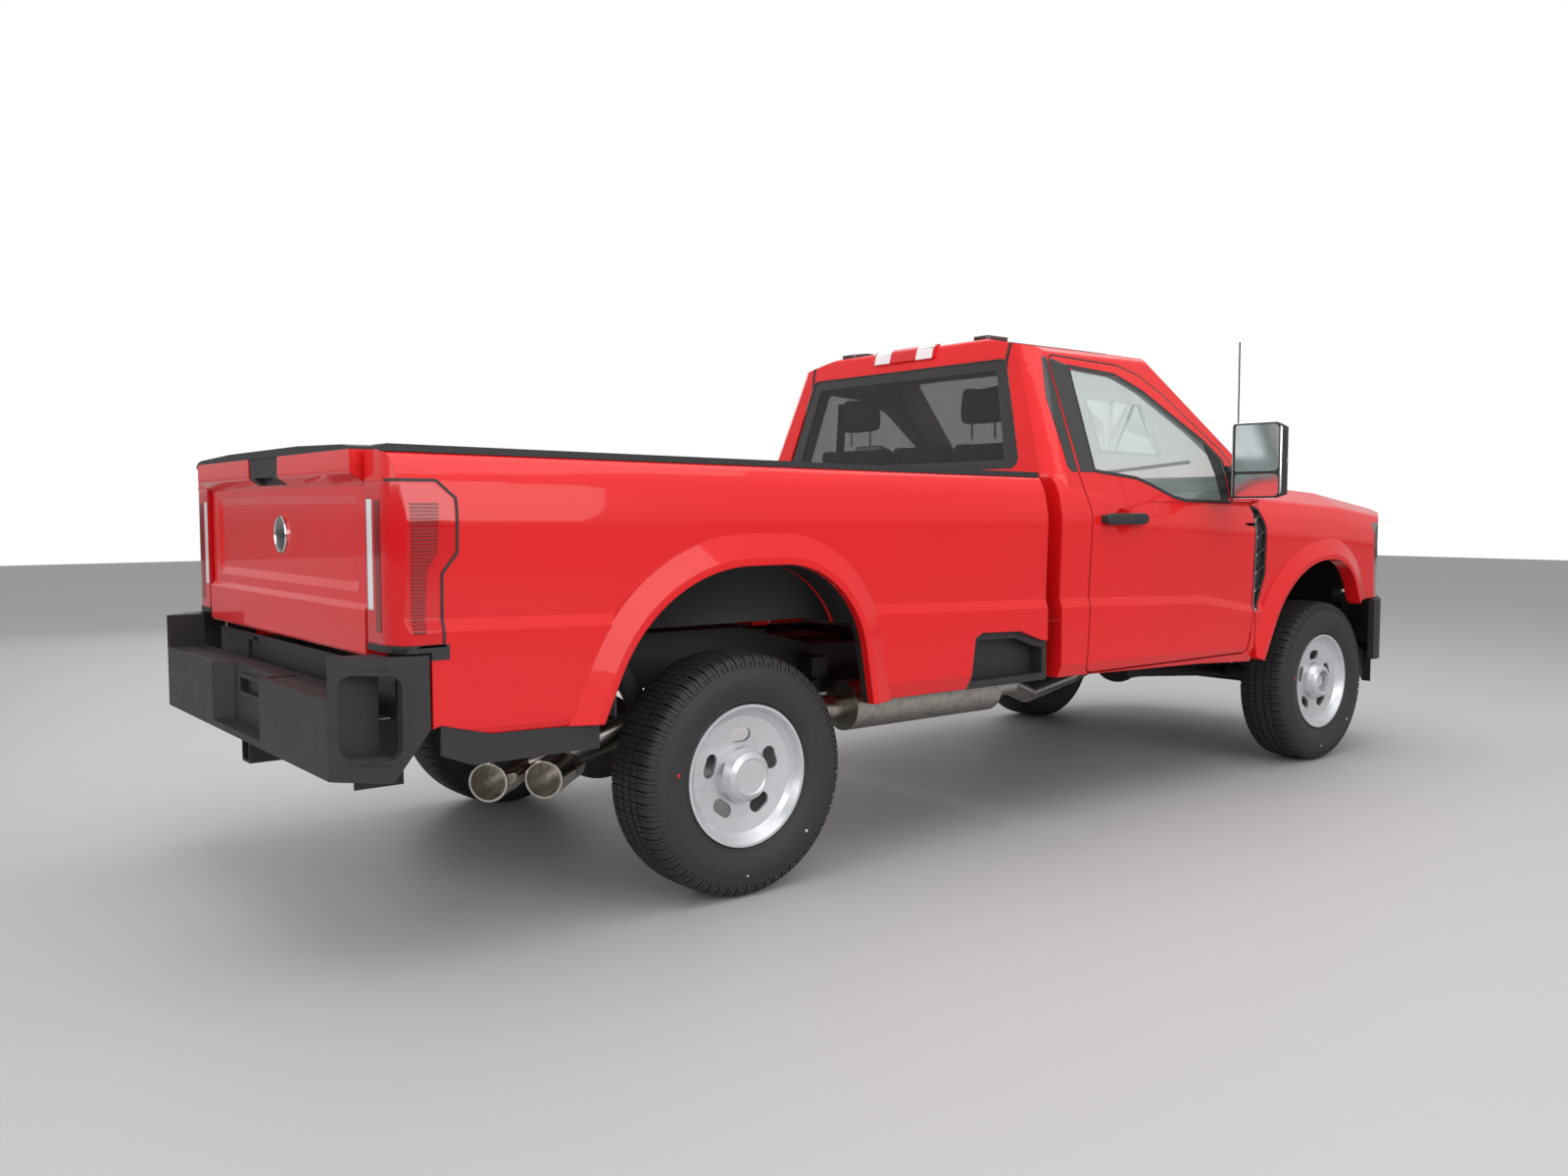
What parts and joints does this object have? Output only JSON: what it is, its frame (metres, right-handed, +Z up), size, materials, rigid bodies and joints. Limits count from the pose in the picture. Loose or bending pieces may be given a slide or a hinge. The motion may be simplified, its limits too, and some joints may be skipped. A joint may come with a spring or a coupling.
{
  "type": "pickup truck",
  "caption": "Heavy-duty single-cab pickup truck with a long load bed, opening doors, hood and tailgate, steerable front wheels and a rear hitch receiver.",
  "frame": {"origin": "on the ground, midway between the outermost points of the two bumpers, on the middle plane", "axes": "+X to the front, +Y to the driver's left, +Z up"},
  "size_m": [5.888, 2.69, 2.0569],
  "materials": {
    "body_paint": "glossy bright red paint",
    "black_trim": "finely textured black",
    "grille_finish": "bright plated surround and bars",
    "clear_lens": "clear lens over a bright reflector",
    "red_lens": "glossy red lens",
    "amber_lens": "dark amber lens",
    "window_glass": "lightly tinted clear glass",
    "dark_glass": "dark privacy glass",
    "dash_plastic": "dark grey moulded plastic",
    "seat_fabric": "grey woven cloth",
    "seat_mount": "dark plastic",
    "tyre_rubber": "black rubber",
    "wheel_silver": "silver painted pressed steel",
    "frame_black": "satin black chassis paint",
    "axle_iron": "dark cast iron",
    "shaft_steel": "bare dull steel",
    "engine_metal": "dull cast metal"
  },
  "bodies": {
    "chassis": {"antenna": "black_trim", "bed_shell": "body_paint", "bed_steps": "black_trim", "bed_valances": "black_trim", "bedsides": "body_paint", "cab_shell": "body_paint", "cowl_panel": "black_trim", "dashboard": "dash_plastic", "driveshafts": "shaft_steel", "exhaust_system": "shaft_steel", "fender_vents": "black_trim", "fenders": "body_paint", "front_axle": "axle_iron", "front_bumper": "black_trim", "front_structure": "black_trim", "front_suspension": "frame_black", "fuel_tank": "frame_black", "grille": "grille_finish", "head_restraints": "seat_fabric", "headlamps": "clear_lens", "high_mount_lamp": "red_lens", "hitch_receiver": "frame_black", "ladder_frame": "frame_black", "powertrain": "engine_metal", "rail_caps": "black_trim", "rear_axle": "axle_iron", "rear_bumper": "black_trim", "rear_suspension": "frame_black", "rear_window": "dark_glass", "reverse_lenses": "clear_lens", "roof_lamps": "amber_lens", "seat_backs": "seat_fabric", "seat_base": "seat_mount", "seat_cushions": "seat_fabric", "spare_wheel": "tyre_rubber", "steering_wheel": "dash_plastic", "tail_lamps": "red_lens", "windshield": "window_glass"},
    "door_right": {"door_right": "body_paint", "door_glass_right": "window_glass", "mirror_right": "black_trim"},
    "door_left": {"door_left": "body_paint", "door_glass_left": "window_glass", "mirror_left": "black_trim"},
    "hood": {"hood": "body_paint"},
    "tailgate": {"tailgate": "body_paint", "tailgate_cap": "black_trim", "tailgate_handle": "black_trim"},
    "knuckle_right": {"knuckle_right": "axle_iron"},
    "knuckle_left": {"knuckle_left": "axle_iron"},
    "tie_rod": {"tie_rod": "axle_iron"},
    "wheel_front_right": {"tyre_front_right": "tyre_rubber", "rim_front_right": "wheel_silver"},
    "wheel_front_left": {"tyre_front_left": "tyre_rubber", "rim_front_left": "wheel_silver"},
    "wheel_rear_right": {"tyre_rear_right": "tyre_rubber", "rim_rear_right": "wheel_silver"},
    "wheel_rear_left": {"tyre_rear_left": "tyre_rubber", "rim_rear_left": "wheel_silver"}
  },
  "joints": [
    {"name": "steer_right", "type": "hinge", "parent": "chassis", "child": "knuckle_right", "pos_m": [1.974, -0.715, 0.3995], "axis": [0, 0, 1], "range_deg": [-30, 30]},
    {"name": "steer_left", "type": "hinge", "parent": "chassis", "child": "knuckle_left", "pos_m": [1.974, 0.715, 0.3995], "axis": [0, 0, 1], "range_deg": [-30, 30]},
    {"name": "tie_rod_pivot", "type": "hinge", "parent": "knuckle_right", "child": "tie_rod", "pos_m": [2.164, -0.715, 0.378], "axis": [0, 0, 1], "range_deg": [-30, 30]},
    {"name": "spin_front_right", "type": "hinge", "parent": "knuckle_right", "child": "wheel_front_right", "pos_m": [1.974, -0.8675, 0.3995], "axis": [0, 1, 0], "continuous": true},
    {"name": "spin_front_left", "type": "hinge", "parent": "knuckle_left", "child": "wheel_front_left", "pos_m": [1.974, 0.8675, 0.3995], "axis": [0, 1, 0], "continuous": true},
    {"name": "spin_rear_right", "type": "hinge", "parent": "chassis", "child": "wheel_rear_right", "pos_m": [-1.623, -0.8535, 0.3995], "axis": [0, 1, 0], "continuous": true},
    {"name": "spin_rear_left", "type": "hinge", "parent": "chassis", "child": "wheel_rear_left", "pos_m": [-1.623, 0.8535, 0.3995], "axis": [0, 1, 0], "continuous": true},
    {"name": "door_right_hinge", "type": "hinge", "parent": "chassis", "child": "door_right", "pos_m": [1.244, -0.978, 0.9], "axis": [0, 0, 1], "range_deg": [0, 65]},
    {"name": "door_left_hinge", "type": "hinge", "parent": "chassis", "child": "door_left", "pos_m": [1.244, 0.978, 0.9], "axis": [0, 0, -1], "range_deg": [0, 65]},
    {"name": "hood_hinge", "type": "hinge", "parent": "chassis", "child": "hood", "pos_m": [1.486, 0, 1.37], "axis": [0, -1, 0], "range_deg": [0, 50]},
    {"name": "tailgate_hinge", "type": "hinge", "parent": "chassis", "child": "tailgate", "pos_m": [-2.77, 0, 0.8677], "axis": [0, -1, 0], "range_deg": [0, 90]}
  ],
  "couplings": [
    {"joint": "steer_left", "follows": "steer_right", "ratio": 1},
    {"joint": "tie_rod_pivot", "follows": "steer_right", "ratio": -1}
  ]
}
